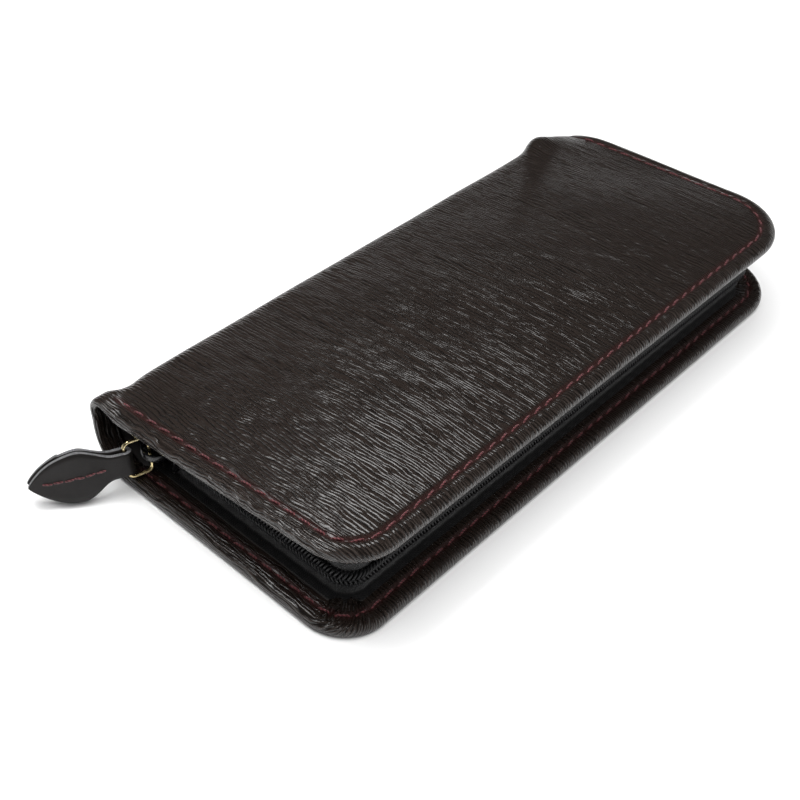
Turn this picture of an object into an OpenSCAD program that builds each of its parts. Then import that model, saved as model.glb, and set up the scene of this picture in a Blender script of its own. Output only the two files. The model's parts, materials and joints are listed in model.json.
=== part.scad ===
// Zip-around case for two pairs of glasses, shown zipped shut.
// +X runs along the spine, +Y points to the spine, +Z is up; the zip closes the other three sides.
// The origin is the middle of the case on the plane that it lies on.

/* [Case] */
// Length along the spine
case_length = 190; // [170:1:210]
// Depth from the zip side to the spine
case_depth = 82; // [76:1:96]
// Radius of the two corners on the zip side, seen from above
corner_r = 13; // [12:0.5:15]

/* [Covers] */
// Thickness of the lower cover
base_t = 3.4; // [3.2:0.1:4.2]
// Height of the upper cover's underside at the zip side
under_front_z = 22.1; // [20:0.1:26]
// Height of the upper cover's underside at the spine
under_back_z = 14.9; // [14.6:0.1:16]
// Thickness of the upper cover at its edges
lid_edge_t = 3.8; // [3.4:0.1:4.6]
// How far the padding lifts the middle of the upper cover
lid_crown = 1.6; // [0.8:0.1:2.4]
// Width of leather turned in over the lower cover's rim
base_turn_in = 6.5; // [5:0.5:8]
// Width of leather turned in under the upper cover's rim
lid_turn_in = 8; // [6:0.5:9]

/* [Spine] */
// Outer radius of the soft lower fold
fold_r = 10; // [8:0.5:12]

/* [Zip] */
// Distance from the case's outline to the outer side of the tape
tape_inset = 8.2; // [7.5:0.1:10]
// Height of the middle of the tooth rows
chain_z = 9.5; // [9.2:0.1:10.5]

/* [Pockets] */
// Clear height of the lower pocket
base_pocket_h = 5.2; // [4.8:0.1:5.2]
// Width of both pockets along the spine
pocket_w = 158; // [130:1:160]

/* [Stitching] */
// Distance between stitches along the seam
stitch_pitch = 4.3; // [3.5:0.1:6]
// Distance from the outline to the seam on the upper cover
lid_seam_inset = 4.2; // [3.5:0.1:5]
// Distance from the outline to the seam on the lower cover
base_seam_inset = 3.6; // [3:0.1:4.5]

/* [Pull] */
// Length of the leaf from its bar to its tip
leaf_length = 22.3; // [18:0.1:30]
// Greatest width of the leaf
leaf_width = 13.8; // [11:0.1:13.8]
// Lean of the link and the leaf away from upright
pull_lean = 15; // [8:1:20]
// Angle of the link from straight out of the case
link_angle = 20; // [10:1:24]
// Angle of the leaf from straight out of the case
leaf_angle = 32; // [20:1:36]

/* [Hidden] */
$fn = 48;

half_l = case_length / 2;
half_d = case_depth / 2;
gap = 0.1;              // air between neighbours in one cover
cut = 1;                // how far a cutting shape runs past what it cuts

leather_t = 1.0;
padding_t = 0.8;
board_t = 0.8;
lining_t = base_t - leather_t - padding_t - board_t;
base_back = half_d - fold_r;                // where the flat lower cover meets the fold
lid_skin_t = 1.2;
lid_sheet_t = 0.9;                          // lining and turned-in leather under the upper cover
lid_board_t = 1.0;
lid_tilt = atan((under_front_z - under_back_z) / case_depth);
lid_top_t = lid_edge_t + lid_crown;
crown_power = 3;                            // higher is flatter in the middle
crown_steps = 40;

spine_t = 1.2;
spine_lining_t = 0.8;
spine_gap = 0.6;                            // air at both folds, so the spine can turn

tape_t = 0.6;
tape_back = base_back - 0.2;                // where the zip ends, short of the spine
slit = 1.0;                                 // gap between the two tooth rows
tooth_depth = 1.1;
tooth_row_h = 2.6;
tape_foot = 1.5;                            // the foot's reach outwards of the tape wall
stop_l = 1.6;
stop_h = 2.2;
teeth_back = tape_back - stop_l - gap;      // the rows end just short of their stops

pocket_t = 0.8;
pocket_front = -half_d + 13;
pocket_back = half_d - 17;
binding_r = 0.55;
lid_pocket_z = base_t + base_pocket_h + pocket_t + 0.5;

thread_r = 0.35;
stitch_length = 3.0;
seam_lift = 0.06;                           // keeps the thread clear of the leather
seam_back = half_d - 2.5;

slider_l = 12;
slider_w = 8.8;
slider_y = tape_back + 0.2 - slider_l / 2;   // the slider's wide end covers the top stops
post_l = 3;
post_back = 3;                              // from the post to the slider's wide end
plate_t = 1.3;
plate_gap = 0.2;
post_t = 0.6;
hook_w = 0.8;                               // how far the front plate hooks round the lower row
hook_t = 0.8;
teeth_x = -half_l + tape_inset - tooth_depth;       // outer side of the near tooth rows
slider_face_x = teeth_x - plate_gap - plate_t;
bail_r = 3.5;
bail_t = 0.9;
bail_h = 2.4;
wire_r = 0.62;
link_l = 9.2;                               // between the middles of the link's two short sides
link_w = 5.8;                               // between the middles of its two long sides
link_corner_r = 1.6;
pull_y = slider_y + 0.5;                    // middle of the bail
link_x = slider_face_x - 1.3;
link_y = pull_y + 0.3;
link_z = chain_z - 0.2;
bar_clearance = 0.05;
leaf_t = 1.2;
neck_w = 5.8;                               // shorter than the straight part of the link's side
neck_l = 5;
leaf_stitch_pitch = 2.6;
leaf_stitches = 6;

leather_brown = [0.17, 0.14, 0.13];
thread_red = [0.42, 0.20, 0.23];
tape_black = [0.05, 0.05, 0.05];
lining_grey = [0.20, 0.19, 0.19];

// Outline of a cover, drawn in by `inset`, with a straight back edge at y = back
module plan(inset, back) {
    r = max(corner_r - inset, 0.5);
    hx = half_l - inset;
    front = -half_d + inset;
    translate([-hx, front + r]) square([2 * hx, back - front - r]);
    translate([-hx + r, front]) square([2 * (hx - r), back - front]);
    for (side = [-1, 1]) translate([side * (hx - r), front + r]) circle(r);
}

module slab(inset, back, z, t) {
    translate([0, 0, z]) linear_extrude(t) plan(inset, back);
}

// Three-sided wall between two insets, open at the spine
module wall(inset, width, back, z, h) {
    translate([0, 0, z]) linear_extrude(h) difference() {
        plan(inset, back);
        plan(inset + width, back + cut);
    }
}

// The upper cover's own frame: z = 0 is its underside, and it tips down to the spine
module on_lid() {
    translate([0, half_d, under_back_z]) rotate([-lid_tilt, 0, 0]) translate([0, -half_d, 0]) children();
}

// Height and slope of the padded top across the upper cover
function crown_z(y) = lid_edge_t + lid_crown * (1 - pow(abs(y) / half_d, crown_power));
function crown_slope(y) = atan(-sign(y) * lid_crown * crown_power * pow(abs(y) / half_d, crown_power - 1) / half_d);

// The space under the padded top, `sink` below its surface
module under_crown(sink) {
    top = [for (k = [0 : crown_steps]) let (y = half_d * (2 * k / crown_steps - 1)) [y, crown_z(y) - sink]];
    translate([-half_l - cut, 0, 0]) rotate([90, 0, 90]) linear_extrude(case_length + 2 * cut)
        polygon(concat([[half_d, -cut], [-half_d, -cut]], top));
}

// Seam around the three open sides: place and heading at a distance s from the near spine end
function seam_straight(i) = seam_back + half_d - corner_r;
function seam_arc(i) = (corner_r - i) * PI / 2;
function seam_total(i) = 2 * seam_straight(i) + 2 * seam_arc(i) + case_length - 2 * corner_r;
function seam_at(s, i) =
    s > seam_total(i) / 2 ? let (p = seam_at(seam_total(i) - s, i)) [-p[0], p[1], -p[2]] :
    s < seam_straight(i) ? [-half_l + i, seam_back - s, -90] :
    s < seam_straight(i) + seam_arc(i) ?
        let (turn = (s - seam_straight(i)) / (corner_r - i) * 180 / PI, r = corner_r - i)
        [-half_l + corner_r - r * cos(turn), -half_d + corner_r - r * sin(turn), turn - 90] :
    [-half_l + corner_r + s - seam_straight(i) - seam_arc(i), -half_d + i, 0];

module stitch() {
    rotate([0, 90, 0]) cylinder(r = thread_r, h = stitch_length, center = true, $fn = 16);
}

module base_leather() {
    color(leather_brown) difference() {
        slab(0, base_back, 0, base_t);
        slab(leather_t, base_back + cut, leather_t, padding_t + board_t);
        slab(base_turn_in, base_back + cut, base_t - lining_t - gap / 10, lining_t + cut);
    }
}

module base_padding() {
    color("dimgray") slab(leather_t + gap, base_back - gap, leather_t, padding_t);
}

module base_board() {
    color("tan") slab(leather_t + gap, base_back - gap, leather_t + padding_t, board_t);
}

module base_lining() {
    color(lining_grey) slab(tape_inset + tape_t + gap, base_back - gap, base_t - lining_t, lining_t);
}

module base_thread() {
    i = base_seam_inset;
    back_cut = seam_back - base_back;       // this seam stops where the flat cover ends
    count = floor((seam_total(i) - 2 * back_cut) / stitch_pitch);
    color(thread_red) for (k = [0 : count - 1]) {
        p = seam_at(back_cut + (k + 0.5) * stitch_pitch, i);
        translate([p[0], p[1], base_t + thread_r + seam_lift]) rotate([0, 0, p[2]]) stitch();
    }
}

// Pocket with its mouth to the spine: a panel on walls along its other three sides
module base_pocket() {
    color(lining_grey) difference() {
        translate([-pocket_w / 2, pocket_front, base_t])
            cube([pocket_w, pocket_back - pocket_front, base_pocket_h + pocket_t]);
        translate([-pocket_w / 2 + pocket_t, pocket_front + pocket_t, base_t - cut])
            cube([pocket_w - 2 * pocket_t, case_depth, base_pocket_h + cut]);
    }
}

module binding(z) {
    translate([0, pocket_back + binding_r, z]) rotate([0, 90, 0])
        cylinder(r = binding_r, h = pocket_w, center = true, $fn = 24);
}

module base_pocket_binding() {
    color(leather_brown) binding(base_t + base_pocket_h + pocket_t / 2);
}

// Tape wall with the foot that is sewn down between leather and lining
module base_tape() {
    color(tape_black) {
        wall(tape_inset, tape_t, tape_back, base_t, chain_z - slit / 2 - base_t);
        wall(tape_inset - tape_foot, tape_foot + tape_t, tape_back, base_t - lining_t, lining_t);
    }
}

module base_teeth() {
    color(tape_black)
        wall(tape_inset - tooth_depth, tooth_depth, teeth_back, chain_z - slit / 2 - tooth_row_h, tooth_row_h);
}

// Small clamp on the outer side of the tape, at the end of one tooth row
module row_stop(z) {
    translate([teeth_x, tape_back - stop_l, z]) cube([tooth_depth - gap / 2, stop_l, stop_h]);
}

module base_top_stop() {
    color("darkslategray") row_stop(chain_z - slit / 2 - stop_h);
}

module lid_top_stop() {
    color("darkslategray") row_stop(chain_z + slit / 2);
}

// Clip that holds the two rows together at the far end of the zip
module zip_bottom_stop() {
    color("darkslategray") translate([half_l - tape_inset + gap / 2, tape_back - stop_l, chain_z - stop_h - slit / 2])
        cube([tooth_depth - gap / 2, stop_l, 2 * stop_h + slit]);
}

// Cross-section of the spine: the soft lower fold and the upright wall above it
module spine_section(sink, t) {
    top = under_back_z - spine_gap;
    difference() {
        union() {
            translate([base_back, fold_r]) circle(fold_r - sink, $fn = 96);
            translate([base_back, fold_r]) square([fold_r - sink, top - fold_r]);
        }
        translate([base_back, fold_r]) circle(fold_r - sink - t, $fn = 96);
        translate([base_back - cut, fold_r]) square([fold_r - sink - t + cut, top]);
        translate([base_back - 2 * fold_r, -cut]) square([2 * fold_r + spine_gap, case_depth]);
    }
}

module along_spine(length) {
    translate([-length / 2, 0, 0]) rotate([90, 0, 90]) linear_extrude(length) children();
}

module spine_leather() {
    color(leather_brown) along_spine(case_length) spine_section(0, spine_t);
}

module spine_lining() {
    color(lining_grey) along_spine(case_length - 8) spine_section(spine_t, spine_lining_t);
}

module lid_leather() {
    color(leather_brown) on_lid() difference() {
        intersection() {
            slab(0, half_d, 0, lid_top_t + cut);
            under_crown(0);
        }
        intersection() {
            slab(lid_skin_t, half_d - lid_skin_t, lid_sheet_t, lid_top_t + cut);
            under_crown(lid_skin_t);
        }
        slab(lid_turn_in, half_d - lid_skin_t, -cut, lid_sheet_t + cut + gap / 10);
    }
}

module lid_padding() {
    color("dimgray") on_lid() intersection() {
        slab(lid_skin_t + gap, half_d - lid_skin_t - gap, lid_sheet_t + lid_board_t, lid_top_t);
        under_crown(lid_skin_t + gap);
    }
}

module lid_board() {
    color("tan") on_lid() slab(lid_skin_t + gap, half_d - lid_skin_t - gap, lid_sheet_t, lid_board_t);
}

module lid_lining() {
    color(lining_grey) on_lid() slab(lid_turn_in + tape_t + 0.4, half_d - lid_skin_t - gap, 0, lid_sheet_t);
}

module lid_thread() {
    i = lid_seam_inset;
    count = floor(seam_total(i) / stitch_pitch);
    color(thread_red) on_lid() for (k = [0 : count - 1]) {
        p = seam_at((k + 0.5) * stitch_pitch, i);
        translate([p[0], p[1], crown_z(p[1])]) rotate([crown_slope(p[1]), 0, 0])
            translate([0, 0, thread_r + seam_lift]) rotate([0, 0, p[2]]) stitch();
    }
}

// Everything below the upper cover's underside
module below_lid() {
    on_lid() translate([-case_length, -case_depth, -case_depth]) cube([2 * case_length, 2 * case_depth, case_depth]);
}

module lid_tape() {
    color(tape_black) intersection() {
        wall(tape_inset, tape_t, tape_back, chain_z + slit / 2, under_front_z);
        below_lid();
    }
}

module lid_teeth() {
    color(tape_black)
        wall(tape_inset - tooth_depth, tooth_depth, teeth_back, chain_z + slit / 2, tooth_row_h);
}

module lid_pocket() {
    color(lining_grey) intersection() {
        difference() {
            translate([-pocket_w / 2, pocket_front, lid_pocket_z])
                cube([pocket_w, pocket_back - pocket_front, under_front_z]);
            translate([-pocket_w / 2 + pocket_t, pocket_front + pocket_t, lid_pocket_z + pocket_t])
                cube([pocket_w - 2 * pocket_t, case_depth, under_front_z]);
        }
        below_lid();
    }
}

module lid_pocket_binding() {
    color(leather_brown) binding(lid_pocket_z + pocket_t / 2);
}

// Two plates held by a neck that runs between the tooth rows; only the lower row is hooked
module slider_body() {
    inner_x = -half_l + tape_inset + tape_t + plate_gap;
    color("dimgray") translate([0, slider_y - slider_l / 2, 0]) {
        translate([slider_face_x, 0, chain_z - slider_w / 2]) cube([plate_t, slider_l, slider_w]);
        translate([inner_x, 0, chain_z - slider_w / 2]) cube([plate_t, slider_l, slider_w]);
        translate([slider_face_x, slider_l - post_back - post_l, chain_z - post_t / 2])
            cube([inner_x + plate_t - slider_face_x, post_l, post_t]);
        translate([slider_face_x, 0, chain_z - slider_w / 2]) cube([plate_t + plate_gap + hook_w, slider_l, hook_t]);
    }
}

module slider_bail() {
    color("dimgray") translate([slider_face_x, pull_y, chain_z - bail_h / 2]) difference() {
        cylinder(r = bail_r, h = bail_h);
        translate([0, 0, -cut]) cylinder(r = bail_r - bail_t, h = bail_h + 2 * cut);
        translate([0, -2 * bail_r, -cut]) cube([2 * bail_r, 4 * bail_r, bail_h + 2 * cut]);
    }
}

// Frame of the pull: its origin is the wire in the bail, and its z runs along the link's long sides
module on_pull() {
    translate([link_x, link_y, link_z]) rotate([-pull_lean, 0, 0]) children();
}

module pull_link() {
    reach_x = link_w / 2 - link_corner_r;
    reach_z = link_l / 2 - link_corner_r;
    color("gold") on_pull() rotate([0, 0, -link_angle]) translate([-link_w / 2, 0, 0]) rotate([90, 0, 0]) {
        for (side = [-1, 1]) {
            translate([side * link_w / 2, 0, 0]) rotate([90, 0, 0])
                cylinder(r = wire_r, h = 2 * reach_z, center = true, $fn = 32);
            translate([0, side * link_l / 2, 0]) rotate([0, 90, 0])
                cylinder(r = wire_r, h = 2 * reach_x, center = true, $fn = 32);
        }
        for (corner = [[1, 1, 0], [-1, 1, 90], [-1, -1, 180], [1, -1, 270]])
            translate([corner[0] * reach_x, corner[1] * reach_z, 0]) rotate([0, 0, corner[2]])
                rotate_extrude(angle = 90, $fn = 64) translate([link_corner_r, 0]) circle(wire_r, $fn = 32);
    }
}

// Frame of the leaf: its origin is the link's outer bar and its x runs to the tip
module on_bar() {
    on_pull() rotate([0, 0, 180 - link_angle]) translate([link_w, 0, 0])
        rotate([0, 0, link_angle - leaf_angle]) children();
}

// The leaf's outline, x to the tip, y across
module leaf_outline() {
    half_w = leaf_width / 2;
    blade = leaf_length / 2;
    arc_r = (blade * blade + half_w * half_w) / (2 * half_w);
    intersection() {
        translate([blade, arc_r - half_w]) circle(arc_r, $fn = 128);
        translate([blade, half_w - arc_r]) circle(arc_r, $fn = 128);
    }
    translate([0, -neck_w / 2]) square([neck_l, neck_w]);
}

module pull_leaf() {
    inner = wire_r + bar_clearance;
    color(leather_brown) on_bar() {
        for (side = [-1, 1]) translate([0, side * (inner + leaf_t / 2), 0]) rotate([90, 0, 0])
            linear_extrude(leaf_t, center = true) leaf_outline();
        difference() {
            cylinder(r = inner + leaf_t, h = neck_w, center = true);
            cylinder(r = inner, h = neck_w + 2 * cut, center = true);
            translate([0, -leaf_width / 2, -leaf_width / 2]) cube([leaf_width, leaf_width, leaf_width]);
        }
    }
}

module pull_thread() {
    face = wire_r + bar_clearance + leaf_t;
    color(thread_red) on_bar() for (side = [-1, 1]) for (k = [0 : leaf_stitches - 1])
        translate([neck_l - 1 + k * leaf_stitch_pitch, side * (face + 0.3), 0])
            rotate([0, 90, 0]) cylinder(r = 0.25, h = 2, center = true, $fn = 16);
}

base_leather();
base_padding();
base_board();
base_lining();
base_thread();
base_pocket();
base_pocket_binding();
base_tape();
base_teeth();
base_top_stop();
zip_bottom_stop();
spine_leather();
spine_lining();
lid_leather();
lid_padding();
lid_board();
lid_lining();
lid_thread();
lid_pocket();
lid_pocket_binding();
lid_tape();
lid_teeth();
lid_top_stop();
slider_body();
slider_bail();
pull_link();
pull_leaf();
pull_thread();
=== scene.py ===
"""The looks of a zip-around case for two pairs of glasses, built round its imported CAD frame.

Lengths are in millimetres until a mesh is made. The outer leather is one sheet: u runs along the spine,
v runs across the sheet from the zip side of the upper cover, over the spine, to the zip side of the lower
cover, and h is the depth below the sheet's outer face.
"""
import json
import math

import bpy
import numpy as np
from mathutils import Matrix, Vector


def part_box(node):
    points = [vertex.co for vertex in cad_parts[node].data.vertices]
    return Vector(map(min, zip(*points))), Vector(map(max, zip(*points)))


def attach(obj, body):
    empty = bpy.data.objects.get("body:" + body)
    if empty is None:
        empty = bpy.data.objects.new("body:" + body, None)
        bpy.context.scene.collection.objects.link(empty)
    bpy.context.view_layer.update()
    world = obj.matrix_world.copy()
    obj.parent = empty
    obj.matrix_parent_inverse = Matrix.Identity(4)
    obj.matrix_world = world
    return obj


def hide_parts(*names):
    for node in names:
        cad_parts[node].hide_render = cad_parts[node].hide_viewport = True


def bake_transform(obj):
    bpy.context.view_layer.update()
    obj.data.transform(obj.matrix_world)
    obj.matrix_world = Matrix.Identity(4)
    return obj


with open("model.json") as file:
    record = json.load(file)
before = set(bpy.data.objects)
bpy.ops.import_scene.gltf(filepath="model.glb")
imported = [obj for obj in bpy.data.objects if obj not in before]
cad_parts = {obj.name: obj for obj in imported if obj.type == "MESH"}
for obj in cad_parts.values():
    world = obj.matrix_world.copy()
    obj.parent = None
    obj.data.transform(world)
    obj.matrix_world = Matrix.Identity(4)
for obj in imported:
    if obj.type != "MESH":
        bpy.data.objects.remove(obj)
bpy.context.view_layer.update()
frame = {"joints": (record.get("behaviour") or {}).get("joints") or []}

MM = 0.001


def box_mm(node):
    low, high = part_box(node)
    return np.array(low) / MM, np.array(high) / MM


def joint_place(name):
    joint = next(j for j in frame["joints"] if j["name"] == name)
    return np.array(joint["pos_m"]) / MM


# ---------------- sizes
base_low, base_high = box_mm("base_leather")
lid_low, _ = box_mm("lid_leather")
HALF_L = base_high[0]
HALF_D = -base_low[1]
NEAR_LID_R = 13.0       # plan radius of each corner: near or far end, upper or lower cover
FAR_LID_R = 21.0
NEAR_BASE_R = 12.0
FAR_BASE_R = 17.0
SQUARE = 0.6            # a square corner's small radius
FAR_TRIM = 1.2          # the soft far edge stops short of the case's full length
BASE_NEAR_GROWTH = 1.0  # and the lower cover's edges are pressed out a little
BASE_FRONT_GROWTH = 0.4
BASE_T = base_high[2]
LID_T = 3.8
LID_TILT = math.radians(5.018)
UNDER_BACK_Z = lid_low[2]
SPINE_T = 2.2
SKIN_T = 0.85

SPINE_Y = 40.5          # outer face of the spine
ROLL_R = 4.2            # where the upper cover turns down into the spine
FOLD_A = 12.0           # depth and height of the soft lower fold
FOLD_B = 12.6

LID_SEAM = 4.2          # insets of the seams from the covers' edges
BASE_SEAM = 4.1
LID_FLAP = 8.0          # and of the raw edges of the turned-in leather
BASE_FLAP = 6.5
SPINE_FLAP = 4.0
LINED_LID = LID_FLAP - 1.6      # the linings reach a little under the flaps
LINED_BASE = BASE_FLAP - 1.6
LINED_SPINE = SPINE_FLAP - 1.2
LENGTH = 2 * HALF_L - FAR_TRIM
STITCH_PITCH = 4.3
STITCH_L = 3.1
THREAD_R = 0.26
GATHERS = 21            # sets how many gathers fan round a corner
SEWN = 0.1              # points this near a sewn edge are held
PUFF = 1.9              # how far the padding lifts the upper cover
INNER_RING = 9.4        # inset at which the rings hand over to the grid

TAPE_INSET = 8.2
TAPE_BACK = 30.8        # where the zip's two ends are
CHAIN_Z = 9.5           # height between the two rows
COIL_PITCH = 0.95
COIL_WIRE = 0.3
POCKET_WIDTH = 158.0
POCKET_FRONT = -28.0
POCKET_DEPTH = 52.0
BASE_POCKET_RISE = 5.6
LID_POCKET_RISE = 5.2

PULL_LEAN = math.radians(15)    # the pull's angles at rest
LINK_ANGLE = math.radians(20)
LEAF_ANGLE = math.radians(32)
LINK_L = 9.2
LINK_W = 5.8
LINK_CORNER = 1.6
WIRE_R = 0.46
LEAF_L = 22.3
LEAF_HALF = 6.4
NECK_HALF = 2.9
LEAF_T = 1.2


# ---------------- small maths
def smooth(x, low, high):
    """0 below low, 1 above high, eased between."""
    t = np.clip((np.asarray(x, float) - low) / (high - low), 0, 1)
    return t * t * (3 - 2 * t)


def bell(x, width):
    """1 at 0, falling to nothing over a few widths."""
    return np.exp(-(np.asarray(x, float) / width) ** 2)


def ripple(u, v, size, seed):
    """Smooth unevenness of about +-1, from a few waves at odd angles."""
    random = np.random.RandomState(seed)
    total = np.zeros(np.broadcast(u, v).shape)
    for _ in range(6):
        angle = random.uniform(0, math.pi)
        k = random.uniform(0.7, 1.5) / size
        total = total + np.sin(k * (u * math.cos(angle) + v * math.sin(angle)) + random.uniform(0, 6.28))
    return total / 3


def unit(a):
    a = np.asarray(a, float)
    return a / np.maximum(np.linalg.norm(a, axis=-1, keepdims=True), 1e-12)


# ---------------- the sheet's path over the case
def sheet_path():
    """Points of the sheet's outer face in the plane x = 0, with the v at which each stretch ends."""
    step = 0.1
    back = np.array([math.cos(LID_TILT), -math.sin(LID_TILT)])
    up = np.array([math.sin(LID_TILT), math.cos(LID_TILT)])
    hinge = np.array([HALF_D, UNDER_BACK_Z])
    start = hinge - back * 2 * HALF_D + up * LID_T
    corner = start + back * (SPINE_Y - start[0]) / back[0]
    turn = math.pi / 2 - LID_TILT
    tangent = ROLL_R * math.tan(turn / 2)
    roll_from = corner - back * tangent
    roll_centre = roll_from - up * ROLL_R
    angles = np.linspace(0, turn, 40)
    first = math.atan2(up[1], up[0])
    roll = roll_centre + ROLL_R * np.stack([np.cos(first - angles), np.sin(first - angles)], 1)
    fold_angles = np.linspace(0, math.pi / 2, 160)
    fold_centre = np.array([SPINE_Y - FOLD_A, FOLD_B])
    fold = fold_centre + np.stack([FOLD_A * np.cos(fold_angles), -FOLD_B * np.sin(fold_angles)], 1)
    end = np.array([-HALF_D - BASE_FRONT_GROWTH, 0.0])

    def line(a, b):
        count = max(int(np.linalg.norm(b - a) / step), 2)
        return a + (b - a) * np.linspace(0, 1, count)[:, None]

    stretches = [line(start, roll[0]), roll, line(roll[-1], fold[0]), fold, line(fold[-1], end)]
    points = np.concatenate([stretches[0]] + [s[1:] for s in stretches[1:]])
    v = np.concatenate([[0], np.cumsum(np.linalg.norm(np.diff(points, axis=0), axis=1))])
    ends = np.cumsum([len(stretches[0]) - 1] + [len(s) - 1 for s in stretches[1:]])
    return points, v, v[ends]


PATH, PATH_V, STRETCH_ENDS = sheet_path()
ROLL_V0, ROLL_V1, FOLD_V0, FOLD_V1, SHEET_V = STRETCH_ENDS
TANGENT = unit(np.gradient(PATH, PATH_V, axis=0))
CUT_V = (ROLL_V1 + FOLD_V0) / 2         # the sheet's two meshes meet here


def lay(u, v, h):
    """Places points of the sheet over the case."""
    u, v, h = np.broadcast_arrays(np.asarray(u, float), np.asarray(v, float), np.asarray(h, float))
    y = np.interp(v, PATH_V, PATH[:, 0])
    z = np.interp(v, PATH_V, PATH[:, 1])
    ty = np.interp(v, PATH_V, TANGENT[:, 0])
    tz = np.interp(v, PATH_V, TANGENT[:, 1])
    return np.stack([u, y + tz * h, z - ty * h], -1)


SHEET_ENDS = (
    (-HALF_L, HALF_L - FAR_TRIM),
    (-HALF_L - BASE_NEAR_GROWTH, HALF_L - FAR_TRIM),
)
SHEET_RADII = (NEAR_LID_R, FAR_LID_R, FAR_BASE_R, NEAR_BASE_R)


def between(v, on_lid, on_spine, on_base, ease=5.0):
    """A size that changes from the upper cover over the spine to the lower cover."""
    to_spine = smooth(v, ROLL_V0 - ease, ROLL_V0 - 0.5)
    to_base = smooth(v, FOLD_V1 - 3, FOLD_V1 + ease - 2)
    return on_lid + (on_spine - on_lid) * to_spine + (on_base - on_spine) * to_base


def thickness(v):
    return between(v, LID_T, SPINE_T, BASE_T)


def seam_inset(v):
    return LID_SEAM + (BASE_SEAM - LID_SEAM) * smooth(v, ROLL_V0, FOLD_V1)


# ---------------- plan outlines and grids
def spaced(low, high, spacing):
    """Knots from low to high, spacing(x) apart."""
    x = np.linspace(low, high, 2000)
    amount = np.concatenate([[0], np.cumsum(np.diff(x) / spacing((x[1:] + x[:-1]) / 2))])
    count = max(int(round(amount[-1])), 2)
    return np.interp(np.linspace(0, amount[-1], count + 1), amount, x)


def outline(ends, v_from, v_to, radii, u_shares, v_shares, arc):
    """The four sides of a rounded panel, as edge points and outward directions.

    ends gives the panel's near and far u at v_from and at v_to.
    radii go round from the near corner at v_from."""
    (near_a, far_a), (near_b, far_b) = ends
    r_na, r_fa, r_fb, r_nb = radii

    def corner(centre, r, angle_from, angle_to):
        angles = np.radians(np.linspace(angle_from, angle_to, arc + 1))
        outward = np.stack([np.cos(angles), np.sin(angles)], 1)
        return np.array(centre) + r * outward, outward

    def side(first, last, shares, facing):
        arc_a, outward_a = corner(*first)
        arc_c, outward_c = corner(*last)
        straight = arc_a[-1] + (arc_c[0] - arc_a[-1]) * shares[:, None]
        steady = np.tile([math.cos(math.radians(facing)), math.sin(math.radians(facing))], (len(straight), 1))
        edge = np.concatenate([arc_a[:-1], straight, arc_c[1:]])
        return edge, np.concatenate([outward_a[:-1], steady, outward_c[1:]])

    corner_na = (near_a + r_na, v_from + r_na)
    corner_fa = (far_a - r_fa, v_from + r_fa)
    corner_fb = (far_b - r_fb, v_to - r_fb)
    corner_nb = (near_b + r_nb, v_to - r_nb)
    return {
        "bottom": side((corner_na, r_na, 225, 270), (corner_fa, r_fa, 270, 315), u_shares, 270),
        "right": side((corner_fa, r_fa, -45, 0), (corner_fb, r_fb, 0, 45), v_shares, 0),
        "top": side((corner_nb, r_nb, 135, 90), (corner_fb, r_fb, 90, 45), u_shares, 90),
        "left": side((corner_na, r_na, 225, 180), (corner_nb, r_nb, 180, 135), v_shares, 180),
    }


def filled(bottom, right, top, left):
    """Grid of points between four sides."""
    s = ((bottom[:, 0] - bottom[0, 0]) / (bottom[-1, 0] - bottom[0, 0]))[:, None, None]
    t = ((left[:, 1] - left[0, 1]) / (left[-1, 1] - left[0, 1]))[None, :, None]
    ruled = (1 - t) * bottom[:, None] + t * top[:, None] + (1 - s) * left[None] + s * right[None]
    corners = (
        (1 - s) * (1 - t) * bottom[0] + s * (1 - t) * bottom[-1] + (1 - s) * t * top[0] + s * t * top[-1]
    )
    return ruled - corners


def grid_faces(index):
    """Quads over a 2-D array of vertex numbers."""
    a = index[:-1, :-1].ravel()
    b = index[1:, :-1].ravel()
    c = index[1:, 1:].ravel()
    d = index[:-1, 1:].ravel()
    return np.stack([a, b, c, d], 1)


def rim_loop(index):
    """Vertex numbers round the edge of a 2-D array."""
    return np.concatenate([index[:, 0], index[-1, 1:], index[-2::-1, -1], index[0, -2:0:-1]])


def capped_rings(rings, sides):
    """Faces of a closed body made of a stack of like rings of points."""
    index = np.arange(rings * sides).reshape(rings, sides)
    faces = [list(f) for f in grid_faces(np.concatenate([index, index[:, :1]], 1))]
    return faces + [list(range(sides))[::-1], list(range((rings - 1) * sides, rings * sides))]


# ---------------- meshes
def add_mesh(name, points, faces, sheet=None, values=None, sharp=None, flat=False):
    """A mesh object from points in millimetres, with `sheet` as its UV map and values as attributes."""
    mesh = bpy.data.meshes.new(name)
    face_list = faces.tolist() if isinstance(faces, np.ndarray) else [list(f) for f in faces]
    mesh.from_pydata((np.asarray(points) * MM).tolist(), [], face_list)
    if sheet is not None:
        corners = np.empty(len(mesh.loops), np.int32)
        mesh.loops.foreach_get("vertex_index", corners)
        layer = mesh.uv_layers.new(name="sheet")
        layer.data.foreach_set("uv", np.asarray(sheet, np.float32)[corners].ravel())
    for key, numbers in (values or {}).items():
        attribute = mesh.attributes.new(key, "FLOAT", "POINT")
        attribute.data.foreach_set("value", np.asarray(numbers, np.float32))
    mesh.polygons.foreach_set("use_smooth", np.full(len(mesh.polygons), not flat))
    if sharp is not None:
        wanted = {tuple(sorted(e)) for e in sharp}
        for edge in mesh.edges:
            edge.use_edge_sharp = tuple(sorted(edge.vertices)) in wanted
    mesh.update()
    made = bpy.data.objects.new(name, mesh)
    bpy.context.scene.collection.objects.link(made)
    return made


def vertex_normals(points, faces):
    corners = points[faces]
    across = np.cross(corners[:, 2] - corners[:, 0], corners[:, 3] - corners[:, 1])
    normals = np.zeros_like(points)
    for k in range(4):
        np.add.at(normals, faces[:, k], across)
    return unit(normals)


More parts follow.
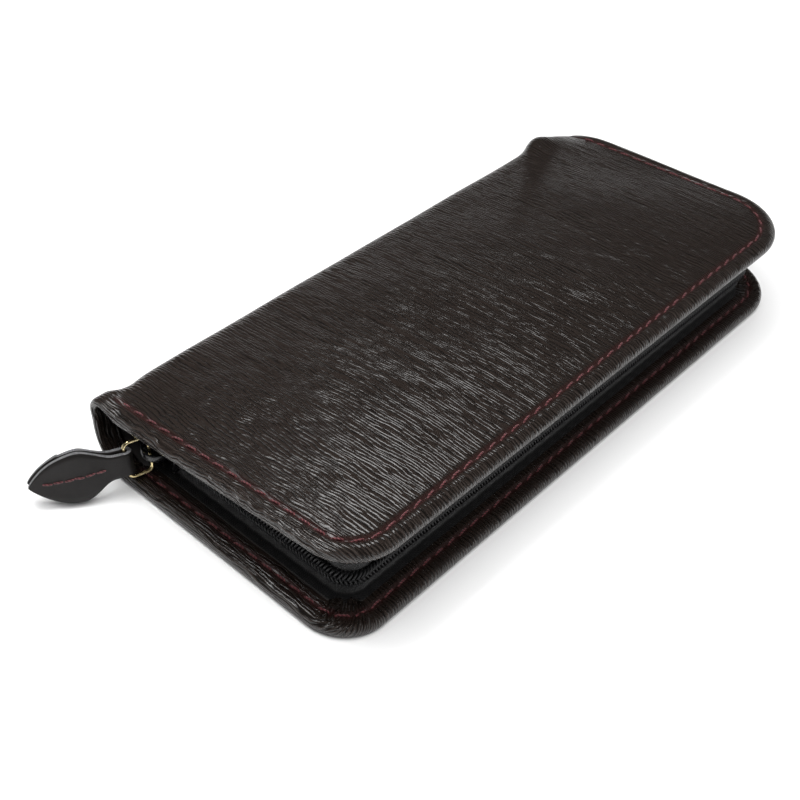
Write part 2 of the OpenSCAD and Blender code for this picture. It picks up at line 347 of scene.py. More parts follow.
def open_edges(faces):
    """Edges with one face, in that face's direction."""
    edges = np.concatenate([faces[:, [0, 1]], faces[:, [1, 2]], faces[:, [2, 3]], faces[:, [3, 0]]])
    keys = np.sort(edges, 1)
    _, first, count = np.unique(keys, axis=0, return_index=True, return_counts=True)
    return edges[first[count == 1]]


def shell(name, outer, inner, faces, sheet, values=None):
    """A closed skin between two like grids of points."""
    n = len(outer)
    rim = open_edges(faces)
    sides = np.stack([rim[:, 1], rim[:, 0], rim[:, 0] + n, rim[:, 1] + n], 1)
    every = np.concatenate([faces, faces[:, ::-1] + n, sides])
    doubled = {k: np.concatenate([a, a]) for k, a in (values or {}).items()}
    edges = np.concatenate([rim, rim + n]).tolist()
    points = np.concatenate([outer, inner])
    return add_mesh(name, points, every, np.concatenate([sheet, sheet]), doubled, edges)


def tube(path, radius, sides=8, flatten=1.0, closed=False, up=(0, 0, 1), swell=None):
    """A tube along a path, with rounded-off ends; flatten squeezes it across `up`."""
    path = np.asarray(path, float)
    n = len(path)
    along = np.roll(path, -1, 0) - np.roll(path, 1, 0) if closed else np.gradient(path, axis=0)
    along = unit(along)
    across = unit(np.cross(along, np.broadcast_to(np.asarray(up, float), path.shape)))
    over = np.cross(across, along)
    angles = np.linspace(0, 2 * math.pi, sides, endpoint=False)
    size = radius * (np.ones(n) if swell is None else swell)
    ring = across[:, None] * np.cos(angles)[None, :, None] * flatten
    ring = ring + over[:, None] * np.sin(angles)[None, :, None]
    points = (path[:, None] + ring * size[:, None, None]).reshape(-1, 3)
    if not closed:
        return points, capped_rings(n, sides)
    index = np.arange(n * sides).reshape(n, sides)
    index = np.concatenate([index, index[:, :1]], 1)
    return points, grid_faces(np.concatenate([index, index[:1]]))


def joined(parts):
    """Several (points, faces) as one."""
    points, faces, offset = [], [], 0
    for p, f in parts:
        points.append(p)
        faces += [[int(i) + offset for i in face] for face in f]
        offset += len(p)
    return np.concatenate(points), faces


def facing_out(points, faces):
    """Turns a closed mesh's faces outwards."""
    volume = sum(np.dot(points[f[0]], np.cross(points[f[1]], points[f[2]])) for f in faces[:-2])
    return [f[::-1] for f in faces] if volume < 0 else faces


def plate(shape, origin, thick, bevel):
    """A plate with rounded-off edges: an outline in y and z, thick along x."""
    outward = unit(shape - shape.mean(0))
    edge = 0.3 * bevel
    rings = [(0, 1), (edge, 0.3), (bevel, 0), (thick - bevel, 0), (thick - edge, 0.3), (thick, 1)]
    points = origin + np.concatenate([
        np.column_stack([np.full(len(shape), x), shape - outward * bevel * inset]) for x, inset in rings
    ])
    return points, facing_out(points, capped_rings(len(rings), len(shape)))


def rounded_rectangle(width, height, r, steps=6):
    corners = [(1, 1, 0), (-1, 1, 90), (-1, -1, 180), (1, -1, 270)]
    points = []
    for sx, sy, first in corners:
        centre = np.array([sx * (width / 2 - r), sy * (height / 2 - r)])
        for angle in np.radians(np.linspace(first, first + 90, steps)):
            points.append(centre + [r * math.cos(angle), r * math.sin(angle)])
    return np.array(points)


# ---------------- cloth
def softened(shape, rounds):
    """Evens out a grid of heights."""
    for _ in range(rounds):
        wide = np.pad(shape, 1, mode="edge")
        around = wide[:-2, 1:-1] + wide[2:, 1:-1] + wide[1:-1, :-2] + wide[1:-1, 2:]
        shape = 0.5 * shape + 0.125 * around
    return shape


def inflated(width, depth, held, cell=3.0, frames=18):
    """Shape, from 0 to 1, of a cloth panel pushed up by what it covers; held says where it is sewn down."""
    nx = int(width / cell) + 1
    ny = int(depth / cell) + 1
    s, t = np.meshgrid(np.linspace(0, 1, nx), np.linspace(0, 1, ny), indexing="ij")
    pinned = held(s * width, t * depth)
    flat = np.stack([s * width, t * depth, np.zeros_like(s)], -1).reshape(-1, 3)
    panel = add_mesh("simulated_panel", flat, grid_faces(np.arange(nx * ny).reshape(nx, ny)))
    group = panel.vertex_groups.new(name="held")
    group.add([int(i) for i in np.flatnonzero(pinned.ravel())], 1.0, "REPLACE")
    simulated = panel.modifiers.new("Cloth", "CLOTH")
    fabric = {
        "quality": 6, "mass": 0.3, "tension_stiffness": 12, "compression_stiffness": 12,
        "bending_stiffness": 0.4, "air_damping": 4, "use_pressure": True, "uniform_pressure_force": 6,
        "vertex_group_mass": "held",
    }
    for key, value in fabric.items():
        setattr(simulated.settings, key, value)
    simulated.settings.effector_weights.gravity = 0
    simulated.point_cache.frame_end = frames
    for number in range(1, frames + 1):
        bpy.context.scene.frame_set(number)
    settled = panel.evaluated_get(bpy.context.evaluated_depsgraph_get()).to_mesh()
    co = np.empty(len(settled.vertices) * 3, np.float32)
    settled.vertices.foreach_get("co", co)
    height = np.abs(co.reshape(nx, ny, 3)[:, :, 2])
    bpy.data.objects.remove(panel)
    bpy.context.scene.frame_set(1)
    return np.where(pinned, 0, height / max(height.max(), 1e-9))


def sampled(shape, s, t):
    """Reads a grid over the unit square at s, t."""
    nx, ny = shape.shape
    x = np.clip(s, 0, 1) * (nx - 1)
    y = np.clip(t, 0, 1) * (ny - 1)
    i = np.minimum(x.astype(int), nx - 2)
    j = np.minimum(y.astype(int), ny - 2)
    fx, fy = x - i, y - j
    fx, fy = fx * fx * (3 - 2 * fx), fy * fy * (3 - 2 * fy)
    low = shape[i, j] * (1 - fx) + shape[i + 1, j] * fx
    high = shape[i, j + 1] * (1 - fx) + shape[i + 1, j + 1] * fx
    return low * (1 - fy) + high * fy


# ---------------- the outer leather
PAD_WIDTH = LENGTH - 2 * LID_SEAM
PAD_DEPTH = ROLL_V1 + 1.5 - LID_SEAM


def pad_held(x, y):
    """Where the upper cover's leather is held down round its padding."""
    outside = np.zeros(x.shape, bool)
    for r, from_end in ((NEAR_LID_R - LID_SEAM, x), (FAR_LID_R - LID_SEAM, PAD_WIDTH - x)):
        cx, cy = r - from_end, r - y
        outside |= (np.hypot(cx, cy) > r) & (cx > 0) & (cy > 0)
    return outside | (x <= SEWN) | (x >= PAD_WIDTH - SEWN) | (y <= SEWN) | (y >= PAD_DEPTH - SEWN)


pad_shape = softened(inflated(PAD_WIDTH, PAD_DEPTH, pad_held), 1)


def puff(u, v):
    """How far the padding lifts the sheet."""
    s = (u + HALF_L - LID_SEAM) / PAD_WIDTH
    t = (v - LID_SEAM) / PAD_DEPTH
    inside = (s > 0) & (s < 1) & (t > 0) & (t < 1)
    return np.where(inside, PUFF * sampled(pad_shape, s, t), 0)


def end_shape(u, v):
    """How far the spine's roll stands out: square ears at both ends, the far one broad and rounded off."""
    from_near = HALF_L + u
    from_far = HALF_L - FAR_TRIM - u
    on_roll = bell(v - (ROLL_V0 + ROLL_V1) / 2, 4.0)
    around_roll = bell(v - (ROLL_V0 + ROLL_V1) / 2, 7.0)
    near_ear = 1.35 * (1 - smooth(from_near, 3.5, 8.5)) - 0.35 * bell(from_near - 10.5, 3.0)
    far_ear = 2.3 * bell(from_far - 17.5, 5.0)
    far_droop = -3.4 * (1 - smooth(from_far, -3.0, 12.0))
    return on_roll * (near_ear + far_ear) + around_roll * far_droop


def seam_present(v):
    """1 where the seam runs on either cover."""
    return (1 - smooth(v, ROLL_V0 - 1.0, ROLL_V0 + 1.0)) + smooth(v, FOLD_V1 - 1, FOLD_V1 + 1.5)


def seam_depth(u, v):
    """The groove is pinched a little deeper at each stitch."""
    return seam_present(v) * (1 + 0.25 * np.cos(2 * math.pi * (u + v) / STITCH_PITCH))


def pleats(u, v):
    """Gathers in the lower cover's turned-in leather, fanning round both zip-side corners."""
    near = u < 0
    r = np.where(near, NEAR_BASE_R, FAR_BASE_R)
    end = np.where(near, HALF_L + BASE_NEAR_GROWTH, HALF_L - FAR_TRIM)
    x = np.abs(u) - (end - r)
    y = v - (SHEET_V - r)
    angle = np.arctan2(y, np.maximum(x, 1e-6))
    reach = np.hypot(x, y)
    in_corner = smooth(angle, 0.02, 0.25) * (1 - smooth(angle, 1.32, 1.55)) * (x > 0)
    wander = 0.05 * np.sin(reach * 1.1) + 0.03 * np.sin(angle * 9 + np.where(near, -1, 1))
    folds = np.abs(np.sin((angle + wander) * GATHERS)) ** 0.7
    strength = 0.65 + 0.35 * np.sin(angle * 7.3 + np.where(near, -1.2, 1.2))
    return in_corner * (2.0 * (1 - folds) * strength - 0.35)


def section_rings(v, flap):
    """Insets and depths of the rings from the flap's raw edge, round the rim, to the sheet's outer face."""
    seam = seam_inset(v)
    t = thickness(v)
    low_w = 0.5 * t
    top_w = between(v, 2.3, 1.4, 1.1)
    groove = (1.3, 0.75, 0.45, 0.22, 0, -0.22, -0.45, -0.75)
    rings = [(flap + (seam + groove[0] - flap) * share, t) for share in (0, 0.04, 0.3, 0.6)]
    rings += [(seam + g, t) for g in groove]
    rings.append((low_w + 0.5, t))
    for angle in np.radians(np.linspace(-90, 90, 13)):
        width = low_w if angle < 0 else top_w
        rings.append((width * (1 - math.cos(angle)), t / 2 * (1 - math.sin(angle))))
    rings.append((top_w + 0.3, 0 * t))
    rings += [(seam - g, 0 * t) for g in groove]
    rings += [(seam + extra, 0 * t) for extra in (1.3, 2.2, 3.4)]
    rings.append((INNER_RING + 0 * t, 0 * t))
    return rings


def face_depth(u, v):
    """Depth of the sheet's outer face, raised by the padding, the spine's ears and slight unevenness."""
    on_lid = 1 - smooth(v, ROLL_V0, FOLD_V0)
    return -puff(u, v) - end_shape(u, v) - 0.10 * ripple(u, v, 6, 5) * on_lid


def ring_depth(u, v, inset, seam_gap, depth, inside):
    """Depth of a ring of points, with the seam's groove and, on the turned-in side, the gathers."""
    on_lid = 1 - smooth(v, ROLL_V0, FOLD_V0)
    groove = seam_depth(u, v) * bell(seam_gap, 0.55) * (inset > 2.2)
    if not inside:
        depth = depth + groove * (0.5 * on_lid + 0.25 * (1 - on_lid)) + face_depth(u, v)
        return depth - 0.108 * bell(seam_gap + 2.0, 0.9) * seam_present(v)
    gathered = smooth(inset, 0.7, 2.4) * (1 - smooth(inset, 8.8, 9.8)) * (1 - 0.35 * bell(seam_gap, 0.6))
    depth = depth - groove * (0.22 * on_lid + 0.42 * (1 - on_lid))
    depth = depth + (1 - on_lid) * pleats(u, v) * gathered - end_shape(u, v)
    return depth + 0.10 * ripple(u, v, 4, 3) * smooth(inset, 2, 3.5)


def sheet_sides():
    """The sheet's four sides, with their points closer together where it bends."""
    u_end = HALF_L - 14
    v_low, v_high = 14, SHEET_V - 13
    roll_middle = (ROLL_V0 + ROLL_V1) / 2

    def across(v):
        in_fold = smooth(v, ROLL_V1, FOLD_V0) * (1 - smooth(v, FOLD_V1, FOLD_V1 + 6))
        return 1.5 - 1.1 * bell(v - roll_middle, 5) - 0.6 * in_fold

    u_knots = spaced(-u_end, u_end, lambda u: 1.5 - 0.6 * smooth(np.abs(u), u_end - 8, u_end))
    v_knots = spaced(v_low, v_high, across)
    u_shares = (u_knots + u_end) / (2 * u_end)
    v_shares = (v_knots - v_low) / (v_high - v_low)
    return outline(SHEET_ENDS, 0, SHEET_V, SHEET_RADII, u_shares, v_shares, 30)


def round_rim(sides):
    """Edge points and outward directions once round the sheet."""
    order = {
        "bottom": slice(None), "right": slice(1, None), "top": slice(-2, None, -1), "left": slice(-2, 0, -1),
    }
    return [np.concatenate([sides[key][k][cut] for key, cut in order.items()]) for k in (0, 1)]


def outer_leather():
    """Points, faces, sheet places and marks of the whole outer leather, with each point's row across it."""
    sides = sheet_sides()
    at_inner = {k: edge - INNER_RING * n for k, (edge, n) in sides.items()}
    inner = filled(**at_inner)
    ni, nj = inner.shape[:2]
    index = np.arange(ni * nj).reshape(ni, nj)
    at_rim, outwards = round_rim(sides)
    v_rim = at_rim[:, 1]
    count = len(at_rim)

    corner = np.abs(outwards[:, 0] * outwards[:, 1]) * 2
    on_base = smooth(v_rim, FOLD_V1, FOLD_V1 + 10)
    flap = between(v_rim, LID_FLAP, SPINE_FLAP, BASE_FLAP) + 1.8 * corner * on_base
    rings = section_rings(v_rim, flap)
    edge_ring = next(k for k, (inset, _) in enumerate(rings) if abs(inset.max()) < 1e-9)

    points, seam_mark, rim_mark = [], [], []
    for k, (inset, depth) in enumerate(rings):
        u, v = (at_rim - inset[:, None] * outwards).T
        seam_gap = inset - seam_inset(v_rim)
        points.append(lay(u, v, ring_depth(u, v, inset, seam_gap, depth, k < edge_ring)))
        seam_mark.append(bell(seam_gap, 0.9) * seam_present(v))
        rim_mark.append(np.full(count, 1 - min(1.0, float(np.mean(inset)) / 2.5)))

    sheet = []
    flat_inset = rings[-1][0]
    for k in range(len(rings) - 2, -1, -1):
        flat_inset = flat_inset - np.linalg.norm(points[k] - points[k + 1], axis=1)
        sheet.insert(0, at_rim - flat_inset[:, None] * outwards)

    ring_count = len(rings) - 1
    strip = ni * nj + np.arange(ring_count * count).reshape(ring_count, count)
    strip = np.concatenate([strip, rim_loop(index)[None]])
    strip = np.concatenate([strip, strip[:, :1]], 1)
    faces = np.concatenate([grid_faces(index), grid_faces(strip)[:, ::-1]])
    u, v = inner[:, :, 0].ravel(), inner[:, :, 1].ravel()
    all_points = np.concatenate([lay(u, v, face_depth(u, v))] + points[:-1])
    all_sheet = np.concatenate([np.stack([u, v], 1)] + sheet)
    marks = {"seam": seam_mark, "rim": rim_mark}
    values = {key: np.concatenate([np.zeros(ni * nj)] + mark[:-1]) for key, mark in marks.items()}
    rows = rim_loop(np.tile(np.arange(nj), (ni, 1)))
    row = np.concatenate([np.tile(np.arange(nj), ni)] + [rows] * ring_count)
    cut_row = int(np.argmin(np.abs(at_inner["left"][:, 1] - CUT_V)))
    return all_points, faces, all_sheet, values, row, cut_row


def cut_out(faces, keep, arrays):
    """The kept faces with only their own points."""
    faces = faces[keep]
    used, inverse = np.unique(faces, return_inverse=True)
    return inverse.reshape(faces.shape), [a[used] for a in arrays]


def make_covers():
    points, faces, sheet, values, row, cut_row = outer_leather()
    normals = vertex_normals(points, faces)
    if normals[np.argmin(np.abs(sheet - [0, 40]).sum(1))][2] < 0:
        faces = faces[:, ::-1]
        normals = -normals
    inner = points - normals * SKIN_T
    made = []
    for name, keep in (
        ("lid_cover", (row[faces] <= cut_row).all(1)),
        ("base_cover", (row[faces] >= cut_row).all(1)),
    ):
        part_faces, arrays = cut_out(faces, keep, [points, inner, sheet, *values.values()])
        made.append(shell(name, *arrays[:2], part_faces, arrays[2], dict(zip(values, arrays[3:]))))
    return made


def level(depth):
    return lambda u, v: depth


def layer(name, inset, v_from, v_to, top, bottom, radii=(SQUARE,) * 4, spacing=2.5):
    """A closed slab between two depths, given at u and v, that keeps inset from both ends."""
    near = -HALF_L + inset
    far = HALF_L - FAR_TRIM - inset
    r = max(radii)
    u_shares = spaced(0, 1, lambda x: spacing / (far - near - 2 * r) + 0 * x)
    v_shares = spaced(0, 1, lambda x: spacing / (v_to - v_from - 2 * r) + 0 * x)
    sides = outline(((near, far), (near, far)), v_from, v_to, radii, u_shares, v_shares, 6)
    grid = filled(**{k: edge for k, (edge, _) in sides.items()})
    u, v = grid[:, :, 0].ravel(), grid[:, :, 1].ravel()
    index = np.arange(len(u)).reshape(grid.shape[:2])
    faces = grid_faces(index)
    upper, lower = lay(u, v, top(u, v)), lay(u, v, bottom(u, v))
    middle = len(u) // 2
    if vertex_normals(upper, faces)[middle] @ (upper - lower)[middle] < 0:
        faces = faces[:, ::-1]
    return shell(name, upper, lower, faces, np.stack([u, v], 1))


def lid_radii(inset):
    return NEAR_LID_R - inset, FAR_LID_R - inset, SQUARE, SQUARE


def base_radii(inset):
    return SQUARE, SQUARE, FAR_BASE_R - inset, NEAR_BASE_R - inset


# ---------------- seams
def edge_path(inset, near, far, straight, r_near, r_far):
    """A line along three sides of a cover: from its near spine end, round the zip side, to its far spine end.

    straight is how far the two end sides reach back from the zip side. Gives distances along the line, and at
    each its u, its distance w from the zip side, and the outward direction in u and w."""
    a = np.linspace(0, math.pi / 2, 60)
    r_a, r_c = r_near - inset, r_far - inset
    first = np.stack([near + r_near - r_a * np.cos(a), r_near - r_a * np.sin(a), -np.cos(a), -np.sin(a)], 1)
    last = np.stack([far - r_far + r_c * np.sin(a), r_far - r_c * np.cos(a), np.sin(a), -np.cos(a)], 1)
    start = np.array([[near + inset, straight, -1, 0]])
    end = np.array([[far - inset, straight, 1, 0]])
    line = np.concatenate([start, first, last, end])
    lengths = np.linalg.norm(np.diff(line[:, :2], axis=0), axis=1)
    return np.concatenate([[0], np.cumsum(lengths)]), line


def along_path(path, s):
    """Reads a path at distances s."""
    lengths, line = path
    return [np.interp(s, lengths, line[:, k]) for k in range(4)]


def lid_path(inset):
    return edge_path(inset, -HALF_L, HALF_L - FAR_TRIM, ROLL_V0 - 1.2, NEAR_LID_R, FAR_LID_R)


def base_path(inset):
    reach = SHEET_V - FOLD_V1 - 1.0
    return edge_path(inset, -HALF_L - BASE_NEAR_GROWTH, HALF_L - FAR_TRIM, reach, NEAR_BASE_R, FAR_BASE_R)


def stitches(path, on_lid, depth, lift, seed):
    """Threads of a seam, each arched out of the leather and sunk at both ends."""
    random = np.random.RandomState(seed)
    count = int(path[0][-1] / STITCH_PITCH)
    parts = []
    for k in range(count):
        x = np.linspace(-1, 1, 9)
        half = STITCH_L / 2 * random.uniform(0.9, 1.06)
        skew = 0.26 * random.uniform(0.4, 1.4)
        u, w, side_u, side_w = along_path(path, (k + 0.5) * STITCH_PITCH + x * half)
        u = u - side_u * skew * x
        w = w - side_w * skew * x
        v = w if on_lid else SHEET_V - w
        arch = THREAD_R * 0.75 * (1 - x ** 4) - 0.42 * np.abs(x) ** 6
        h = depth - lift * arch * random.uniform(0.85, 1.1)
        parts.append(tube(lay(u, v, h), THREAD_R, 8, swell=1 - 0.25 * x ** 4, up=(0.1, 0.2, 1)))
    return parts


def sewn(name, threads, length):
    """All threads of a seam as one piece; each has nine rings of eight points."""
    points, faces = joined(threads)
    along = np.tile(np.repeat(np.linspace(0, length, 9), 8), len(threads))
    around = np.tile(np.arange(8) / 8, 9 * len(threads))
    return add_mesh(name, points, faces, np.stack([along, around], 1))


def make_stitching():
    lid_parts = stitches(lid_path(LID_SEAM), True, 0.46, 1, 11)
    lid_parts += stitches(lid_path(LID_SEAM), True, LID_T - 0.18, -1, 12)
    base_parts = stitches(base_path(BASE_SEAM), False, BASE_T - 0.38, -1, 13)
    base_parts += stitches(base_path(BASE_SEAM), False, 0.22, 0.35, 14)
    return sewn("lid_stitching", lid_parts, STITCH_L), sewn("base_stitching", base_parts, STITCH_L)


# ---------------- the zip
def zip_path(inset):
    return edge_path(inset, -HALF_L, HALF_L, TAPE_BACK + HALF_D, NEAR_LID_R, 17.0)


def under_lid(y, drop=0.0):
    """Height of the upper cover's underside."""
    return UNDER_BACK_Z + (HALF_D - y) * math.tan(LID_TILT) - drop


def tape(name, upper):
    """A woven tape: a wall beside the coil, with a foot sewn in between leather and lining."""
    path = zip_path(TAPE_INSET + 0.3)
    s = np.linspace(0, path[0][-1], int(path[0][-1] / 1.2))
    x, w, nx, ny = along_path(path, s)
    y = w - HALF_D
    coil_edge = CHAIN_Z + (0.35 if upper else -0.35)
    far = under_lid(y, -0.15) if upper else np.full(len(s), BASE_T - 0.35)
    rows = []
    across = []
    profile = [(-2.4, 1.0, 0), (-1.1, 1.0, 0), (-0.35, 0.97, 0), (0.0, 0.86, 0.15)]
    profile += [(0, share, 1) for share in (0.72, 0.58, 0.44, 0.3, 0.16, 0.0)]
    for out, share, belly in profile:
        z = coil_edge + (far - coil_edge) * share
        creases = 0.16 * np.sin(s * 2.1 + share * 5) * np.sin(s * 0.37 + 1.7)
        creases = creases + 0.10 * np.sin(s * 3.7 - share * 7)
        bulge = belly * (0.55 * math.sin(math.pi * share) + creases * math.sin(math.pi * min(share * 1.1, 1)))
        offset = -out + bulge
        rows.append(np.stack([x + nx * offset, y + ny * offset, z], 1))
        across.append(np.full(len(s), share * 8 - out))
    rows = np.array(rows)
    count = rows.shape[0]
    index = np.arange(count * len(s)).reshape(count, len(s))
    faces = grid_faces(index)
    middle = rows.reshape(-1, 3)
    normals = vertex_normals(middle, faces)
    half = 0.24
    sheet = np.stack([np.tile(s, count), np.concatenate(across)], 1)
    return shell(name, middle + normals * half, middle - normals * half, faces, sheet)


def coil(name, upper):
    """One row of the coil: a squeezed helix with its heads reaching into the other row's gaps."""
    line = zip_path(TAPE_INSET - 0.62)
    turns = int((line[0][-1] - 3.6) / COIL_PITCH)
    steps = 14
    phase = np.arange(turns * steps) / steps
    s = 1.8 + (phase + (0.5 if upper else 0)) * COIL_PITCH
    angle = 2 * math.pi * phase
    lean = 0.30 * np.sin(angle)
    x, w, nx, ny = along_path(line, s + lean)
    y = w - HALF_D
    out = 0.62 * np.cos(angle)
    rise = 1.12 * np.sin(angle)
    centre = CHAIN_Z + (0.86 if upper else -0.86)
    path = np.stack([x + nx * out, y + ny * out, centre + (rise if upper else -rise)], 1)
    points, faces = tube(path, COIL_WIRE, 6, up=(0.3, 0.2, 1))
    along = np.repeat(s, 6)
    return add_mesh(name, points, faces, np.stack([along, np.tile(np.arange(6.0), len(s))], 1))


def slider_outline():
    """Shield-shaped face of the slider, wide where the rows part; the first number is along the zip."""
    half = [
        (-6.0, 2.3), (-5.3, 2.9), (-3.6, 3.3), (-1.0, 3.7), (1.6, 4.25), (3.6, 4.4), (5.2, 4.1), (6.0, 3.2),
        (5.6, 1.6), (4.9, 0.6), (4.7, 0),
    ]
    return np.array(half + [(x, -y) for x, y in half[-2::-1]])[::-1]


def make_slider():
    """Two plates, the post between them and the hook round the lower row."""
    low, high = box_mm("slider_body")
    middle_y = (low[1] + high[1]) / 2
    shape = slider_outline()
    post = rounded_rectangle(3.0, 0.56, 0.25)
    hook = rounded_rectangle(9.6, 0.7, 0.3)
    parts = [
        plate(shape, [low[0], middle_y, CHAIN_Z], 1.25, 0.35),
        plate(shape * 0.98, [high[0] - 1.2, middle_y, CHAIN_Z], 1.2, 0.3),
        plate(post, [low[0] + 0.8, middle_y + 1.5, CHAIN_Z], high[0] - low[0] - 1.6, 0.05),
        plate(hook, [low[0] + 0.6, middle_y - 0.6, CHAIN_Z - 3.85], 1.7, 0.15),
    ]
    points, faces = joined(parts)
    return add_mesh("zip_slider", points, faces, points[:, 1:])


def make_bail():
    low, high = box_mm("slider_bail")
    centre_y = (low[1] + high[1]) / 2
    angles = np.radians(np.linspace(92, 268, 33))
    r = (high[1] - low[1]) / 2 - 0.45
    path = np.stack(
        [high[0] + r * np.cos(angles) * 0.98, centre_y + r * np.sin(angles), np.full(33, CHAIN_Z)], 1
    )
    path = np.concatenate([path[:1] + [0.8, 0, 0], path, path[-1:] + [0.8, 0, 0]])
    points, faces = tube(path, 1.12, 14, flatten=0.4)
    return add_mesh("zip_bail", points, faces, points[:, :2])


def pull_axes(angle):
    """Axes of the pull turned by angle: outwards along it, along the wire, and across both."""
    wire = np.array([0, math.sin(PULL_LEAN), math.cos(PULL_LEAN)])
    side = np.array([0, math.cos(PULL_LEAN), -math.sin(PULL_LEAN)])
    out = np.array([-math.cos(angle), 0, 0]) + side * math.sin(angle)
    return out, wire, np.cross(wire, out)


def make_link():
    out, wire, _ = pull_axes(LINK_ANGLE)
    shape = rounded_rectangle(LINK_W, LINK_L, LINK_CORNER, 9)
    straight = []
    for a, b in zip(shape, np.roll(shape, -1, 0)):
        count = max(int(np.linalg.norm(b - a) / 0.6), 1)
        straight += [a + (b - a) * k / count for k in range(count)]
    flat = np.array(straight)
    path = joint_place("link_swing") + (flat[:, :1] + LINK_W / 2) * out + flat[:, 1:] * wire
    points, faces = tube(path, WIRE_R, 16, closed=True, up=np.cross(wire, out))
    return add_mesh("pull_ring", points, faces, points[:, 1:])


def leaf_width(x):
    shoulder = NECK_HALF + (LEAF_HALF - NECK_HALF) * smooth(x, 2.5, 10.8)
    taper = np.clip((x - 10.5) / (LEAF_L - 10.5), 0, 1)
    return shoulder * (1 - taper ** 2.1) ** 0.92 + 0.12


def leaf_offset(x):
    """Distance of a layer's middle from the leaf's middle plane."""
    return 1.27 - 0.55 * smooth(x, 1.5, 7) + 0.55 * smooth(x, 16, LEAF_L + 2)


def leaf_bend(x):
    """Slow S of the whole leaf away from its plane."""
    return 0.9 * np.sin(np.clip(x / LEAF_L, 0, 1.2) * math.pi * 1.1) * smooth(x, 2, 9)


def make_leaf():
    """One strip of leather with cut edges, folded round the link's outer bar."""
    out, wire, across = pull_axes(LEAF_ANGLE)
    origin = joint_place("leaf_swing")
    xs = np.concatenate([np.linspace(LEAF_L, 12, 24), np.linspace(11.6, 0.3, 26)])
    turn = np.radians(np.linspace(90, 270, 19))
    path = [(x, leaf_offset(x) + leaf_bend(x), leaf_width(x)) for x in xs]
    path += [(1.27 * math.cos(a), 1.27 * math.sin(a), NECK_HALF) for a in turn]
    path += [(x, -leaf_offset(x) + leaf_bend(x), leaf_width(x)) for x in xs[::-1]]
    path = np.array(path)
    line, width = path[:, :2], path[:, 2]
    tangent = unit(np.gradient(line, axis=0))
    normal = np.stack([-tangent[:, 1], tangent[:, 0]], 1)
    half = LEAF_T / 2
    soft = 0.22
    face = np.linspace(-1, 1, 9)
    loop = [(k, half) for k in face] + [(1, half - soft), (1, soft - half)]
    loop += [(k, -half) for k in face[::-1]] + [(-1, soft - half), (-1, half - soft)]
    loop = np.array(loop)
    on_edge = np.abs(np.abs(loop[:, 1]) - (half - soft)) < 1e-6
    n, m = len(path), len(loop)
    reach = np.maximum(width[:, None] - np.where(on_edge, 0.0, np.minimum(soft, 0.1))[None], 0.02)
    w = np.sign(loop[:, 0]) * np.minimum(np.abs(loop[:, 0])[None] * width[:, None], reach)
    place = line[:, None] + normal[:, None] * loop[None, :, 1:2]
    cup = 0.35 * (w / LEAF_HALF) ** 2 * smooth(line[:, :1], 8, 16) * np.sign(line[:, 1:] + 1e-9)
    points = (
        origin + place[:, :, :1] * out + (place[:, :, 1] + cup)[:, :, None] * across + w[:, :, None] * wire
    ).reshape(-1, 3)
    faces = facing_out(points - origin, capped_rings(n, m))
    along = np.concatenate([[0], np.cumsum(np.linalg.norm(np.diff(line, axis=0), axis=1))])
    sheet = np.stack([np.repeat(along, m), w.ravel()], 1)
    edge = np.tile(on_edge.astype(float), n)
    edge = np.maximum(edge, np.repeat((np.arange(n) < 1) | (np.arange(n) > n - 2), m))
    return add_mesh("pull_leaf_leather", points, faces, sheet, {"edge": edge})


def make_leaf_thread():
    """Stitches down the middle of both faces of the leaf."""
    out, wire, across = pull_axes(LEAF_ANGLE)
    origin = joint_place("leaf_swing")
    parts = []
    random = np.random.RandomState(21)
    for side in (-1, 1):
        for k in range(6):
            x = 4.6 + (k + 0.5 * (0.9 + 0.2 * random.rand())) * 2.45
            t = np.linspace(-1, 1, 9)
            at = x + t * 1.05
            lift = LEAF_T / 2 + 0.12 * (1 - t ** 4) - 0.22 * np.abs(t) ** 5
            y = side * (leaf_offset(at) + lift) + leaf_bend(at)
            rise = 0.32 * t * random.uniform(-0.6, 1) + 0.1 * random.uniform(-1, 1)
            thread_path = origin + at[:, None] * out + y[:, None] * across + rise[:, None] * wire
            parts.append(tube(thread_path, THREAD_R, 8, up=across, swell=1 - 0.25 * t ** 4))
    return sewn("pull_stitching", parts, 2.0)


def make_stop(name, node):
    """A clip at an end of the zip, as big as its CAD node."""
    low, high = box_mm(node)
    size = high - low
    middle = (low + high) / 2
    shape = rounded_rectangle(size[1], size[2], 0.35, 4)
    points, faces = plate(shape, [low[0] - 0.1, middle[1], middle[2]], size[0] + 0.2, 0.25)
    return add_mesh(name, points, faces, points[:, 1:])


